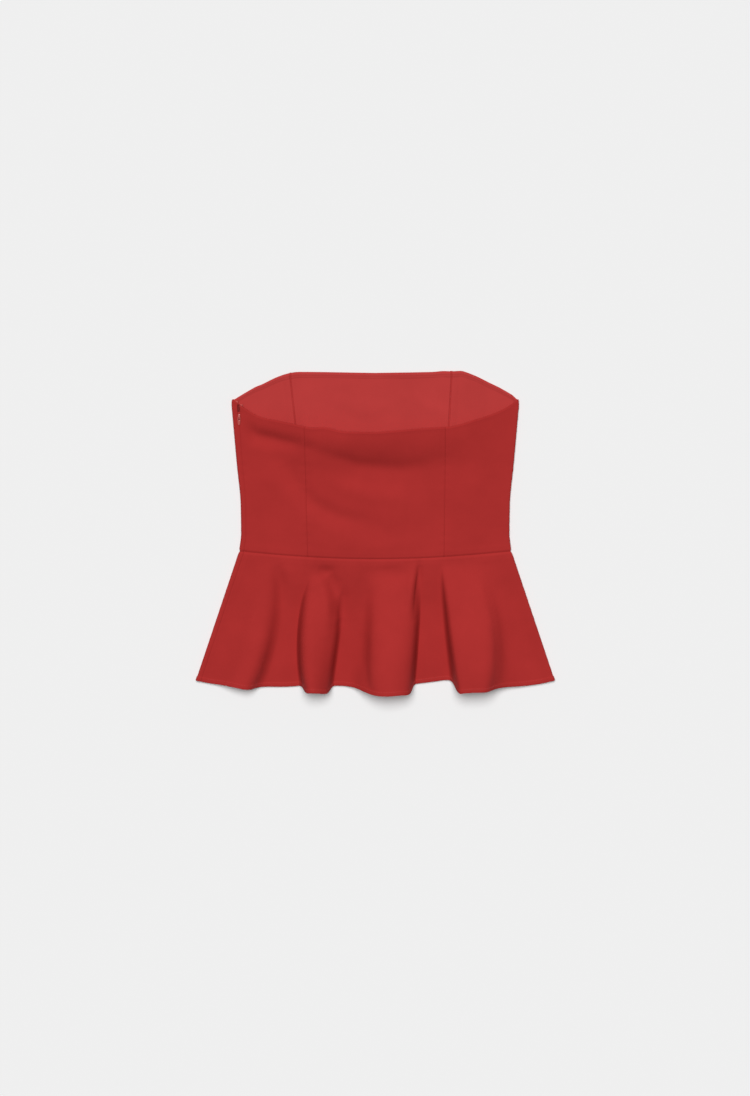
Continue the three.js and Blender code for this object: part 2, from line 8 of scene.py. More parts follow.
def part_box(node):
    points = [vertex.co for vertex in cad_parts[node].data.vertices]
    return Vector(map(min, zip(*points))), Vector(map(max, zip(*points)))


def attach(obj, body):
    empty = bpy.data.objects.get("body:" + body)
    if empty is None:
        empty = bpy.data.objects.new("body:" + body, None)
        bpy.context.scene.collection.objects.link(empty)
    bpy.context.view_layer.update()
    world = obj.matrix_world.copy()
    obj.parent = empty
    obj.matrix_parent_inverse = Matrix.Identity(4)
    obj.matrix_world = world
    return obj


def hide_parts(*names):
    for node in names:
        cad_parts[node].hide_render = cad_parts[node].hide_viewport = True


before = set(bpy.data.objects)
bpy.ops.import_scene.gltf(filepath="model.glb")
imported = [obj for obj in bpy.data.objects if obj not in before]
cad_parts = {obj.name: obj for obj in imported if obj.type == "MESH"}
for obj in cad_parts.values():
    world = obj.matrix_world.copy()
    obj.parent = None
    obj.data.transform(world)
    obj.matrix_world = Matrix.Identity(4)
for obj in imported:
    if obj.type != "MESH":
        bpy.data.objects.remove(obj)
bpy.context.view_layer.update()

MM = 0.001


def table(columns, rows):
    """Rows of values as dictionaries, with the columns' names as keys."""
    return [dict(zip(columns, row)) for row in rows]


# Cloth sizes, in millimetres, the same as the solids'
CLOTH = 1.2
SIDE_FOLD_RADIUS = 2.4
UNDER_LAYER = CLOTH / 2
OVER_LAYER = UNDER_LAYER + 2 * SIDE_FOLD_RADIUS
NESTED_LAYER = UNDER_LAYER + 2.4

# Bodice, measured up from the waist seam at the side
SIDE_LENGTH = 210
FRONT_WAIST_DIP = 4
BACK_WAIST_DIP = 9
TOP_RISE = 38.0
BODICE_SIDE = table(("level", "half_width"), [
    (0.0, 181.0),
    (0.12, 178.3),
    (0.3, 178.6),
    (0.58, 183.5),
    (0.8, 187.2),
    (1.0, 190.5),
])
NECKLINE = table(("across", "front_rise", "back_dip"), [
    (0.0, 36.5, 39.3),
    (0.25, 37.3, 37.0),
    (0.45, 37.9, 33.5),
    (0.6, TOP_RISE, 28.5),
    (0.68, 33.5, 24.8),
    (0.8, 22.5, 18.5),
    (0.92, 9.5, 9.5),
    (1.0, 0.0, 0.0),
])
PRINCESS_SEAMS = {
    "front_left": {"waist_x": -88, "top_x": -113},
    "front_right": {"waist_x": 88, "top_x": 101},
    "back_left": {"waist_x": -90, "top_x": -94.5},
    "back_right": {"waist_x": 91.5, "top_x": 93},
}
RIGHT_SIDE_SEAM = 1.5
BACK_LOFT = {"height": 5, "power": 1.5}
NECK_LIFT = {"height": 12, "reach": 44}
NECK_LEAN = 0.3
NECK_SAG = {"depth": 4, "below": 60, "reach": 25}

# Peplum: one row for each fold line, as x at the waist and hem, a sideways bow halfway down, its
# height at the hem, where down the peplum it begins to rise, and its length from waist to hem
PEPLUM_FLARE = 59
PEPLUM_SIDE_LENGTH = 182
SOFT_START = 0.08
SETTLED_BY = 0.45
FOLD_COLUMNS = ("waist_x", "hem_x", "bow", "rise", "start", "length")
BACK_FOLDS = table(FOLD_COLUMNS, [
    (-166, -220, 0, 1, 0.1, 186),
    (-160, -205, 4, 7, 0.06, 186),
    (-153, -187, 9, 19, 0.03, 186),
    (-146, -170, 14, 21, 0.03, 189),
    (-134, -157, 15.5, 1, 0.03, 190.5),
    (-124, -141, 13, 0, 0.1, 190.5),
    (-104, -124, 1, 0, 0.1, 191),
    (-88, -108, -7, 0, 0.12, 190),
    (-78, -97.5, -14, 0, 0.12, 189),
    (-73, -92.5, -14, 31, 0.12, 190),
    (-65, -86, -9, 38, 0.12, 187),
    (-56, -77.5, -4, 35, 0.13, 188.5),
    (-48.5, -70.5, -1, 29, 0.15, 191),
    (-42, -64.5, 1, 21, 0.16, 194),
    (-37, -59, 1.5, 1, 0.16, 190),
    (-30, -52, 1, 0, 0.15, 189),
    (-21, -38, 2, 1, 0.1, 189.5),
    (-12, -26, 2, 7, 0.1, 190),
    (-4, -15, 0, 20, 0.09, 191),
    (5, -5, -2, 31, 0.08, 192),
    (16, 6, -2, 37, 0.07, 192),
    (28, 19, 0, 38.5, 0.06, 191.5),
    (39, 31, 1, 36, 0.04, 191),
    (48, 40.5, 1.5, 31, 0.03, 192.5),
    (54.5, 46, 2.5, 23, 0.02, 193.5),
    (60, 51, 2.5, 1, 0.02, 187),
    (64, 56, 2, 0, 0.04, 186.5),
    (72, 76, 0, 0, 0.05, 184),
    (80, 94, -2, 0, 0.05, 181),
    (85.5, 104, -1.5, 1, 0.04, 182),
    (90, 111, -2, 33, 0.04, 190),
    (97, 118, -0.5, 37, 0.04, 187.5),
    (110, 134, 7, 38.5, 0.04, 186),
    (120, 148, 16, 37, 0.04, 186.5),
    (128, 158, 17, 21, 0.04, 187),
    (139, 172, 13, 8, 0.05, 188.5),
    (153, 196, 7, 3.5, 0.08, 189),
    (166, 219, 0, 1, 0.08, 187),
])
FRONT_FOLDS = table(FOLD_COLUMNS, [
    (-160, -200, 0, 0, 0.1, 180),
    (-148, -181, 4, 8, 0.15, 180),
    (-140, -166, 6, 8, 0.15, 180),
    (-128, -148, 5, 0, 0.1, 180),
    (-106, -110, -1, 0, 0.1, 180),
    (-95, -99, -2, 0, 0.1, 180),
    (-84, -89, -2, 20, 0.25, 180),
    (-64, -73, 2, 20, 0.25, 180),
    (-50, -64, 2, 0, 0.1, 180),
    (-18, -30, 1, 0, 0.1, 180),
    (4, -4, 0, 12, 0.15, 180),
    (22, 18, 0, 22, 0.12, 180),
    (38, 38, 0, 20, 0.12, 180),
    (50, 47, 1, 0, 0.1, 178),
    (62, 60, 0, 0, 0.1, 176),
    (86, 105, 1, 0, 0.1, 176),
    (95, 115, 1, 0, 0.1, 176),
    (104, 122, 0, 20, 0.16, 178),
    (114, 139, 4, 18, 0.16, 178),
    (128, 158, 6, 0, 0.1, 178),
    (160, 205, 0, 0, 0.1, 178),
])

# Zip seam, inside the left edge of the upper face
ZIP_INSET = {"waist": 6.2, "top": 9.2}
ZIP_MOUTH = {"half_width": 1.7, "length": 27, "shut_level": -0.005, "open_level": 0.03}

# The solids' own origin is the middle of the outline: this moves the waist line to it.
WAIST_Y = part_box("front_centre")[1][1] / MM - (SIDE_LENGTH + TOP_RISE)


def smoothstep(value, low, high):
    t = min(max((value - low) / (high - low), 0.0), 1.0)
    return t * t * (3 - 2 * t)


def read_table(rows, key, place, column):
    """Reads a named column at a place along the key column, with no overshoot between rows."""
    last = len(rows) - 1
    place = min(max(place, rows[0][key]), rows[last][key])
    row = 0
    while row < last - 1 and place > rows[row + 1][key]:
        row += 1

    def slope(i):
        return (rows[i + 1][column] - rows[i][column]) / (rows[i + 1][key] - rows[i][key])

    def tangent(i):
        if i <= 0:
            return slope(0)
        if i >= last:
            return slope(last - 1)
        before, after = slope(i - 1), slope(i)
        return 0 if before * after <= 0 else 2 * before * after / (before + after)

    span = rows[row + 1][key] - rows[row][key]
    t = (place - rows[row][key]) / span
    eased = t * t * (3 - 2 * t)
    return (
        rows[row][column] * (1 - eased)
        + rows[row + 1][column] * eased
        + span * tangent(row) * t * (1 - t) ** 2
        - span * tangent(row + 1) * t * t * (1 - t)
    )


def bodice_half_width(level):
    return read_table(BODICE_SIDE, "level", level, "half_width") - CLOTH / 2


def bodice_flat_half(level):
    return bodice_half_width(level) - SIDE_FOLD_RADIUS


def peplum_flat_half(down):
    return bodice_flat_half(0) + PEPLUM_FLARE * down


# A place on the ring is one number: -1 to 1 is the front from left to right, 1 to 2 the right fold,
# 2 to 4 the back from right to left, and 4 to 5 the left fold.
def front_place(x, flat_half):
    return x / flat_half


def back_place(x, flat_half):
    return 3 - x / flat_half


def wrap_place(place):
    return (place + 1) % 6 - 1


def back_relief(across, level):
    """How far the back stands above the side fold."""
    cover = max(1 - across * across, 0) ** BACK_LOFT["power"]
    below = (1 - level) * (SIDE_LENGTH - NECKLINE[0]["back_dip"] + BACK_WAIST_DIP)
    lift = NECK_LIFT["height"] * math.exp(-((below / NECK_LIFT["reach"]) ** 2))
    sag = NECK_SAG["depth"] * math.exp(-(((below - NECK_SAG["below"]) / NECK_SAG["reach"]) ** 2))
    return cover * (BACK_LOFT["height"] + (lift - sag) * (1 - NECK_LEAN * across))


def side_fold(place, flat_half, y):
    on_right = place < 3
    turn = (place - (1.5 if on_right else 3.5)) * math.pi
    centre_x = flat_half if on_right else -flat_half
    return Vector((
        centre_x + SIDE_FOLD_RADIUS * math.cos(turn),
        y,
        UNDER_LAYER + SIDE_FOLD_RADIUS * (1 + math.sin(turn)),
    ))


def bodice_point(any_place, level):
    """The middle of the bodice's cloth: level 0 is the waist seam and level 1 the neckline."""
    place = wrap_place(any_place)
    flat_half = bodice_flat_half(level)
    if place <= 1:
        rise = read_table(NECKLINE, "across", abs(place), "front_rise")
        waist_y = -FRONT_WAIST_DIP * (1 - place * place)
        return Vector((place * flat_half, waist_y + level * (SIDE_LENGTH + rise - waist_y), UNDER_LAYER))
    if place < 2 or place > 4:
        return side_fold(place, flat_half, level * SIDE_LENGTH)
    across = 3 - place
    dip = read_table(NECKLINE, "across", abs(across), "back_dip")
    waist_y = -BACK_WAIST_DIP * (1 - across * across)
    y = waist_y + level * (SIDE_LENGTH - dip - waist_y)
    return Vector((across * flat_half, y, OVER_LAYER + back_relief(across, level)))


def fold_lines(folds):
    """The fold lines of a layer, with a plain line at each side fold."""
    waist, hem = peplum_flat_half(0), peplum_flat_half(1)
    left, right = table(FOLD_COLUMNS, [
        (-waist, -hem, 0, 0, 0, PEPLUM_SIDE_LENGTH),
        (waist, hem, 0, 0, 0, PEPLUM_SIDE_LENGTH),
    ])
    lines = [dict(fold, is_edge=False) for fold in folds]
    return [dict(left, is_edge=True), *lines, dict(right, is_edge=True)]


FRONT_LINES = fold_lines(FRONT_FOLDS)
BACK_LINES = fold_lines(BACK_FOLDS)
LINE_STEP = 2 / (len(BACK_LINES) - 1)


def line_point(line, down, layer):
    x = line["waist_x"] + (line["hem_x"] - line["waist_x"]) * down + 4 * line["bow"] * down * (1 - down)
    across = line["waist_x"] / peplum_flat_half(0)
    on_back = layer == "back"
    dip = BACK_WAIST_DIP if on_back else FRONT_WAIST_DIP
    y = -dip * (1 - across * across) * (1 - down) - line["length"] * down
    waist_z = OVER_LAYER + back_relief(across, 0) if on_back else UNDER_LAYER
    rest_z = (OVER_LAYER if line["is_edge"] else NESTED_LAYER) if on_back else UNDER_LAYER
    settle = smoothstep(down, 0, SETTLED_BY)
    grown = max(0.0, (down - line["start"]) / (1 - line["start"]))
    easing = (1 + SOFT_START) * grown / (grown + SOFT_START)
    rise = line["rise"] * grown * (2 - grown) * easing
    return Vector((x, y, waist_z + (rest_z - waist_z) * settle + rise))


def layer_point(lines, along, down, layer):
    """A smooth section through the fold lines that rounds each line into the next."""
    last = len(lines) - 1
    nearest = min(max(int(along + 0.5), 0), last)
    t = along - nearest + 0.5
    here = line_point(lines[nearest], down, layer)
    before = line_point(lines[nearest - 1], down, layer) if nearest > 0 else None
    after = line_point(lines[nearest + 1], down, layer) if nearest < last else None
    if before is None:
        before = 2 * here - after
    if after is None:
        after = 2 * here - before
    return before * (0.5 * (1 - t) ** 2) + here * (0.5 + t - t * t) + after * (0.5 * t * t)


def peplum_point(any_place, down):
    """The middle of the peplum's cloth: down is 0 at the waist seam and 1 at the hem."""
    place = wrap_place(any_place)
    if place <= 1:
        return layer_point(FRONT_LINES, (place + 1) / 2 * (len(FRONT_LINES) - 1), down, "front")
    if place < 2 or place > 4:
        return side_fold(place, peplum_flat_half(down), -PEPLUM_SIDE_LENGTH * down)
    return layer_point(BACK_LINES, (4 - place) / 2 * (len(BACK_LINES) - 1), down, "back")


# Panel edges: the sewn seams are shut, with a hair between the panels
HALF_GAP = 0.02
SIDE_SEAM_GAP = HALF_GAP / (math.pi * SIDE_FOLD_RADIUS)


def princess_place(seam, level, aside, to_place):
    row = PRINCESS_SEAMS[seam]
    x = row["waist_x"] + (row["top_x"] - row["waist_x"]) * level
    return to_place(x + aside * HALF_GAP, bodice_flat_half(level))


def zip_mouth(level):
    """Half the width of the zip's mouth, open above the slider."""
    end = 1 - ZIP_MOUTH["length"] / SIDE_LENGTH
    opening = smoothstep(level, end + ZIP_MOUTH["shut_level"], end + ZIP_MOUTH["open_level"])
    return ZIP_MOUTH["half_width"] * opening


def zip_place(level, aside):
    inset = ZIP_INSET["waist"] + (ZIP_INSET["top"] - ZIP_INSET["waist"]) * level ** 2
    x = -(bodice_half_width(level) + CLOTH / 2 - inset)
    return back_place(x + aside, bodice_flat_half(level))


def left_seam_place(down, aside):
    """The left side seam of the peplum, running on from the zip."""
    inset = ZIP_INSET["waist"] - SIDE_FOLD_RADIUS - CLOTH / 2 + aside
    first_x = line_point(BACK_LINES[1], down, "back").x
    return 4 - LINE_STEP * inset / (first_x + peplum_flat_half(down))


def between(stops, counts, across):
    """The place at a fraction across a panel whose columns are shared out between its stops."""
    column = across * sum(counts)
    for start, end, count in zip(stops, stops[1:], counts):
        if column <= count:
            return start + (end - start) * column / count
        column -= count
    return stops[-1]


# Creases of the bodice: a route in x and y over the garment, the half width of the
# trough or ridge, and its height, which is below zero for a trough
CREASE_COLUMNS = ("route", "half_width", "height")
BACK_CREASES = table(CREASE_COLUMNS, [
    ([(-106, 152), (-66, 138), (-22, 122), (34, 116), (88, 128)], 11, -2.1),
    ([(-84, 118), (-48, 94), (-4, 80), (52, 76)], 13, 1.8),
    ([(-124, 128), (-106, 98), (-84, 68), (-50, 48), (2, 38)], 13, -4.2),
    ([(-184, 178), (-158, 161), (-126, 154), (-92, 147)], 11, -4.8),
    ([(-60, 14), (0, 8), (62, 14)], 13, 1.5),
    ([(116, 156), (142, 128), (152, 70), (148, 30)], 16, 1.2),
    ([(-150, 96), (-146, 40), (-138, 12)], 12, 0.7),
])
# The front rests on the surface, so its creases stand up into the garment.
FRONT_CREASES = table(CREASE_COLUMNS, [
    ([(-60, 214), (-20, 196), (30, 200)], 12, 0.9),
    ([(40, 232), (60, 206), (92, 190)], 10, 0.7),
    ([(-130, 120), (-90, 96), (-30, 88)], 12, 0.8),
    ([(70, 90), (112, 60), (150, 56)], 12, 0.8),
    ([(-40, 40), (10, 22), (70, 20)], 12, 0.7),
])
# The peplum's smaller creases, between its main folds
PEPLUM_CREASES = table(CREASE_COLUMNS, [
    ([(-9, -60), (-13, -115), (-15, -150), (-12, -176), (-3, -192)], 7, -2.0),
    ([(4, -30), (28, -32), (50, -28)], 10, -2.0),
    ([(59, -14), (58, -34), (55, -60), (52, -90)], 4.5, -3.2),
    ([(50, -22), (47, -44), (43, -76)], 5, 1.8),
    ([(30, -34), (36, -56), (36, -84)], 9, -1.2),
    ([(-78, -24), (-66, -27), (-52, -26)], 8, -2.2),
    ([(-92, -44), (-76, -42), (-60, -46)], 11, 1.4),
    ([(-64, -32), (-56, -46), (-48, -64), (-47, -98)], 10, -5.0),
    ([(-70, -46), (-66, -70), (-65, -108)], 8, 2.0),
    ([(-88, -52), (-86, -76), (-88, -104)], 10, 1.4),
    ([(-132, -16), (-126, -44), (-124, -84)], 8, -1.8),
    ([(-124, -18), (-114, -30), (-108, -56)], 9, 1.2),
    ([(150, -20), (186, -90), (206, -150)], 11, -0.8),
    ([(70, -40), (78, -110), (82, -160)], 7, 0.6),
])
CREASE_REACH = 3
CREASE_FADE = {"margin": 0.04, "power": 0.6}


def crease_height(creases, x, y):
    """The sum of the creases at a point, each fading out at both its ends."""
    total = 0.0
    for crease in creases:
        best = None
        pieces = len(crease["route"]) - 1
        for i, (start, end) in enumerate(zip(crease["route"], crease["route"][1:])):
            dx, dy = end[0] - start[0], end[1] - start[1]
            t = ((x - start[0]) * dx + (y - start[1]) * dy) / (dx * dx + dy * dy)
            t = min(max(t, 0.0), 1.0)
            away = math.hypot(x - start[0] - t * dx, y - start[1] - t * dy)
            if best is None or away < best[0]:
                best = (away, (i + t) / pieces)
        away, along = best
        if away < CREASE_REACH * crease["half_width"]:
            inner = min(max(along, CREASE_FADE["margin"]), 1 - CREASE_FADE["margin"])
            fade = math.sin(math.pi * inner) ** CREASE_FADE["power"]
            total += crease["height"] * fade * math.exp(-((away / crease["half_width"]) ** 2))
    return total


# Seams: seen from outside the cloth dips into each one. Inside, the pressed allowances lie on the
# cloth at both sides of the seam, so there it is a groove between two raised bands.
SEAM_DIP = {"depth": 0.5, "half_width": 1.4}
WAIST_DIP = {"depth": 1.0, "half_width": 2.0}
QUIET_DIP = {"depth": 0.15, "half_width": 1.2}
ALLOWANCE = {"height": 0.14, "at": 9, "half_width": 2.2}
INSIDE_ALLOWANCE = {"height": 1.6, "groove_from": 0.4, "groove_to": 1.7, "width": 9, "taper": 0.6}
PUCKER = {"height": 0.12, "spacing": 13, "reach": 7, "beat": 31.0, "beat_from": 1.0}


def seam_shape(away, along, dip=SEAM_DIP):
    groove = -dip["depth"] * math.exp(-((away / dip["half_width"]) ** 2))
    ridge = ALLOWANCE["height"] * math.exp(-(((away - ALLOWANCE["at"]) / ALLOWANCE["half_width"]) ** 2))
    beat = math.sin(along / PUCKER["beat"] + PUCKER["beat_from"])
    wave = math.sin(2 * math.pi * along / PUCKER["spacing"]) * beat
    pucker = PUCKER["height"] * wave * math.exp(-((away / PUCKER["reach"]) ** 2))
    return groove + ridge + pucker


def inside_seam_shape(away):
    groove_to, width, taper = (INSIDE_ALLOWANCE[part] for part in ("groove_to", "width", "taper"))
    rise = smoothstep(away, INSIDE_ALLOWANCE["groove_from"], groove_to)
    slope = taper * smoothstep(away, groove_to, width)
    end = (1 - taper) * smoothstep(away, width, width + 1)
    return -INSIDE_ALLOWANCE["height"] * (rise - slope - end)


# Turned edges: a neckline or hem is doubled, so it is a raised band with a rolled edge
NECK_TURN = {"width": 6.5, "height": 0.1, "roll": 0.26}
INSIDE_NECK_TURN = {"width": 6.5, "height": 0.5, "roll": 0.5}
HEM_TURN = {"width": 6.0, "height": 0.5, "roll": 0.15}
ROLL = {"at": 2.4, "half_width": 1.5}
TURN_STEP = {"before": 0.9, "after": 0.5}


def turned_edge(away, turn):
    past = smoothstep(away, turn["width"] - TURN_STEP["before"], turn["width"] + TURN_STEP["after"])
    roll = turn["roll"] * math.exp(-(((away - ROLL["at"]) / ROLL["half_width"]) ** 2))
    return turn["height"] * (1 - past) + roll


# Unevenness that no press takes out of a laid garment: long waves with shorter ones on them, each
# from its own slice of a noise
UNEVEN_HEIGHT = 0.35
LONG_WAVE = {"spacing": 46, "slice": 3.7}
SHORT_WAVE = {"spacing": 17.0, "slice": 9.1, "share": 0.35}


def unevenness(point):
    slow, quick = (
        noise.noise(Vector((point.x / wave["spacing"], point.y / wave["spacing"], wave["slice"])))
        for wave in (LONG_WAVE, SHORT_WAVE)
    )
    return UNEVEN_HEIGHT * (slow + SHORT_WAVE["share"] * quick)


# The back neckline doesn't lie even: how far its edge is pushed away from the waist, by place across
WAVE_COLUMNS = ("x", "shift")
NECK_WAVE = table(WAVE_COLUMNS, [
    (-190.0, 0.0),
    (-173.0, -1.5),
    (-154.0, -4.0),
    (-129.0, -1.5),
    (-106.0, 0.0),
    (-88.0, -0.5),
    (-66.0, 2.6),
    (-42.0, -0.5),
    (-20.0, 0.0),
    (52.0, 1.6),
    (82.0, 0.0),
    (102.0, -2.4),
    (141.0, -1.5),
    (163.0, -1.5),
    (190.0, 0.0),
])
# The same for the front neckline, whose top shows over the back's
FRONT_NECK_WAVE = table(WAVE_COLUMNS, [
    (-190.0, 0.0),
    (-160.0, 0.0),
    (-148.0, -1.4),
    (-117.0, -1.4),
    (-104.0, 0.0),
    (74.0, 0.0),
    (92.0, 1.3),
    (148.0, 1.3),
    (166.0, 2.4),
    (180.0, 2.6),
    (190.0, 0.0),
])


# The waves die out down the bodice, and the top corners draw in a little where the allowances are
# turned in
WAVES_FROM_LEVEL = 0.78
CORNER_TUCK = {"depth": 1.3, "from_level": 0.965}


def laid_bodice(any_place, level):
    """The bodice's cloth with the small waves of its two necklines."""
    point = bodice_point(any_place, level)
    place = wrap_place(any_place)
    tuck = CORNER_TUCK["depth"] / SIDE_LENGTH * smoothstep(level, CORNER_TUCK["from_level"], 1.0)
    point.x *= 1 - tuck
    near_edge = smoothstep(level, WAVES_FROM_LEVEL, 1.0)
    if 2 <= place <= 4:
        point.y += read_table(NECK_WAVE, "x", point.x, "shift") * near_edge
    elif place <= 1:
        point.y += read_table(FRONT_NECK_WAVE, "x", point.x, "shift") * near_edge
    return point


def row_levels(length, stops):
    """Levels from a table of distances along the cloth and how many rows lead up to each."""
    levels = [stops[0][0] / length]
    for (start, _), (end, count) in zip(stops, stops[1:]):
        levels += [(start + (end - start) * step / count) / length for step in range(1, count + 1)]
    return levels


def to_frame(point):
    return Vector((point.x * MM, (point.y + WAIST_Y) * MM, point.z * MM))


def new_object(name, bm, material, body):
    mesh = bpy.data.meshes.new(name)
    bm.to_mesh(mesh)
    bm.free()
    for face in mesh.polygons:
        face.use_smooth = True
    mesh.materials.append(material)
    piece = bpy.data.objects.new(name, mesh)
    bpy.context.collection.objects.link(piece)
    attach(piece, body)
    return piece


def unit_normal(surface, place, level):
    """Outward and square to the cloth, for a bodice level or a distance down the peplum."""
    step = 1e-3
    across = surface(place + step, level) - surface(place - step, level)
    along = surface(place, level + step) - surface(place, level - step)
    out = along.cross(across).normalized()
    return -out if surface is peplum_point else out


# A wall of even thickness swells a little where the cloth slopes: this keeps it above the surface
REST_CLEARANCE = 0.14
EDGE_ROUNDING = {"share": 0.3, "segments": 2, "sharper_than": math.radians(50)}


def cloth_shell(name, surface, stops_at, counts, levels, detail, material, inside=None, thickness=CLOTH):
    """A panel of cloth: a grid laid on its surface, shaped by its creases and seams, then thickened."""
    columns, rows = sum(counts), len(levels) - 1
    stops = [stops_at(level) for level in levels]
    middle = rows // 2
    widths = [0.0]
    before = surface(between(stops[middle], counts, 0), levels[middle])
    for column in range(1, columns + 1):
        point = surface(between(stops[middle], counts, column / columns), levels[middle])
        widths.append(widths[-1] + (point - before).length)
        before = point
    bm = bmesh.new()
    cloth_uv = bm.loops.layers.uv.new("cloth")
    bmesh.ops.create_grid(bm, x_segments=columns, y_segments=rows, size=0.5)
    if surface is not peplum_point:
        bmesh.ops.reverse_faces(bm, faces=bm.faces)
    laid = {}
    for vertex in bm.verts:
        column = round((vertex.co.x + 0.5) * columns)
        row = round((vertex.co.y + 0.5) * rows)
        place = between(stops[row], counts, column / columns)
        point = surface(place, levels[row])
        laid[vertex] = (column, row, place, point)
        vertex.co = to_frame(point)
    bm.normal_update()
    for vertex, (column, row, place, point) in laid.items():
        height = detail(point, place, levels[row], widths[column], widths[-1] - widths[column])
        vertex.co += vertex.normal * (height * MM)
        # The underside rests on the surface, so nothing is pushed below it.
        vertex.co.z = max(vertex.co.z, (thickness / 2 + REST_CLEARANCE) * MM)
    length = PEPLUM_SIDE_LENGTH if surface is peplum_point else SIDE_LENGTH
    for face in bm.faces:
        for loop in face.loops:
            column, row = laid[loop.vert][:2]
            loop[cloth_uv].uv = (widths[column] * MM, levels[row] * length * MM)
    piece = new_object(name, bm, material, "garment")
    wall = piece.modifiers.new("wall", "SOLIDIFY")
    wall.thickness = thickness * MM
    wall.offset = 0
    wall.use_even_offset = True
    if inside is not None:
        piece.data.materials.append(inside)
        wall.material_offset = 1
    rounding = piece.modifiers.new("rounded edges", "BEVEL")
    rounding.width = EDGE_ROUNDING["share"] * thickness * MM
    rounding.segments = EDGE_ROUNDING["segments"]
    rounding.limit_method = "ANGLE"
    rounding.angle_limit = EDGE_ROUNDING["sharper_than"]
    return piece


# Materials
def linear(hex_colour):
    """An sRGB hex colour as the linear numbers that a shader takes."""
    channels = [int(hex_colour[i : i + 2], 16) / 255 for i in (1, 3, 5)]
    return tuple(c / 12.92 if c <= 0.04045 else ((c + 0.055) / 1.055) ** 2.4 for c in channels) + (1.0,)


def new_material(name):
    material = bpy.data.materials.new(name)
    material.use_nodes = True
    material.node_tree.nodes.clear()
    return material


def add_node(material, kind, settings=None, inputs=None, links=None):
    """Adds a node, sets its own settings and input values, and links other nodes' outputs to it."""
    node = material.node_tree.nodes.new(kind)
    for key, value in (settings or {}).items():
        setattr(node, key, value)
    for key, value in (inputs or {}).items():
        node.inputs[key].default_value = value
    for key, (source, output) in (links or {}).items():
        material.node_tree.links.new(source.outputs[output], node.inputs[key])
    return node


def finish_material(material, inputs, links=None):
    """Adds the shader and the material's output."""
    shader = add_node(material, "ShaderNodeBsdfPrincipled", None, inputs, links)
    add_node(material, "ShaderNodeOutputMaterial", links={"Surface": (shader, "BSDF")})
    return material


# A wave texture of scale 1 repeats after this many metres
WAVE_REPEAT = 0.314


def noise_texture(material, spacing_mm, space="Object", **inputs):
    place = add_node(material, "ShaderNodeTexCoord")
    inputs["Scale"] = 1 / (spacing_mm * MM)
    return add_node(material, "ShaderNodeTexNoise", None, inputs, {"Vector": (place, space)})


def wave_texture(material, spacing_mm, direction, space="Object", **inputs):
    place = add_node(material, "ShaderNodeTexCoord")
    inputs["Scale"] = WAVE_REPEAT / (spacing_mm * MM)
    settings = {"wave_type": "BANDS", "bands_direction": direction}
    return add_node(material, "ShaderNodeTexWave", settings, inputs, {"Vector": (place, space)})


def two_tone(material, pattern, deep, light, ends=(0.0, 1.0)):
    """A ramp from a deep to a light tone along a pattern."""
    ramp = add_node(material, "ShaderNodeValToRGB", links={"Fac": (pattern, "Fac")})
    for stop, end, colour in zip(ramp.color_ramp.elements, ends, (deep, light)):
        stop.position = end
        stop.color = linear(colour)
    return ramp


def crepe(name, deep, light):
    """Polyester crepe, closely woven from twisted yarn: matt, with a pebbled grain and a soft bloom."""
    grain_mm = 0.9  # coarser than the real 0.4 mm, so that it shows
    thread_mm = 0.7  # the same
    material = new_material(name)
    grain = noise_texture(material, grain_mm, "UV", Detail=3.0, Roughness=0.6)
    loose = {"Distortion": 2.5, "Detail": 1.0, "Detail Scale": 2.0}
    threads = [wave_texture(material, thread_mm, direction, "UV", **loose) for direction in ("X", "Y")]
    weave = add_node(
        material,
        "ShaderNodeMath",
        settings={"operation": "MULTIPLY"},
        links={0: (threads[0], "Fac"), 1: (threads[1], "Fac")},
    )
    height = add_node(
        material,
        "ShaderNodeMath",
        settings={"operation": "ADD"},
        links={0: (weave, "Value"), 1: (grain, "Fac")},
    )
    bump = add_node(
        material,
        "ShaderNodeBump",
        inputs={"Strength": 0.35, "Distance": 0.12 * MM},
        links={"Height": (height, "Value")},
    )
    cloud = noise_texture(material, spacing_mm=55, Detail=4.0, Roughness=0.55)
    shades = two_tone(material, cloud, deep, light, ends=(0.3, 0.7))
    speckle = add_node(
        material,
        "ShaderNodeMix",
        settings={"data_type": "RGBA", "blend_type": "MULTIPLY"},
        inputs={"Factor": 0.12},
        links={"A": (shades, "Color"), "B": (grain, "Color")},
    )
    return finish_material(
        material,
        inputs={
            "Roughness": 0.86,
            "Specular IOR Level": 0.15,
            "Sheen Weight": 0.04,
            "Sheen Roughness": 0.5,
            "Sheen Tint": linear("#D05048"),
        },
        links={"Base Color": (speckle, "Result"), "Normal": (bump, "Normal")},
    )


def lacquered_metal_with_painted_glint():
    """Zinc alloy dipped in red lacquer: a smooth coat with small soft highlights, in a paler, pinker red
    than the cloth that is partly the lacquer's own colour and partly a painted glint.
    """
    material = new_material("red lacquered zinc with painted glint")
    # The pale pink tones are partly a painted glint.
    tone = two_tone(material, noise_texture(material, spacing_mm=1.5, Detail=3.0), "#AC3E3A", "#C8605A")
    return finish_material(
        material,
        inputs={"Roughness": 0.3, "Coat Weight": 0.6, "Coat Roughness": 0.12},
        links={"Base Color": (tone, "Color")},
    )


def zip_tape_cloth():
    """Knitted polyester zip tape, a shade paler than the cloth, with fine ribs along it."""
    material = new_material("red zip tape")
    ribs = wave_texture(material, spacing_mm=0.8, direction="X", Distortion=0.6)
    tone = two_tone(material, ribs, "#A63A36", "#BE4F4A")
    bump = add_node(
        material,
        "ShaderNodeBump",
        inputs={"Strength": 0.5, "Distance": 0.1 * MM},
        links={"Height": (ribs, "Fac")},
    )
    links = {"Base Color": (tone, "Color"), "Normal": (bump, "Normal")}
    return finish_material(material, inputs={"Roughness": 0.8}, links=links)


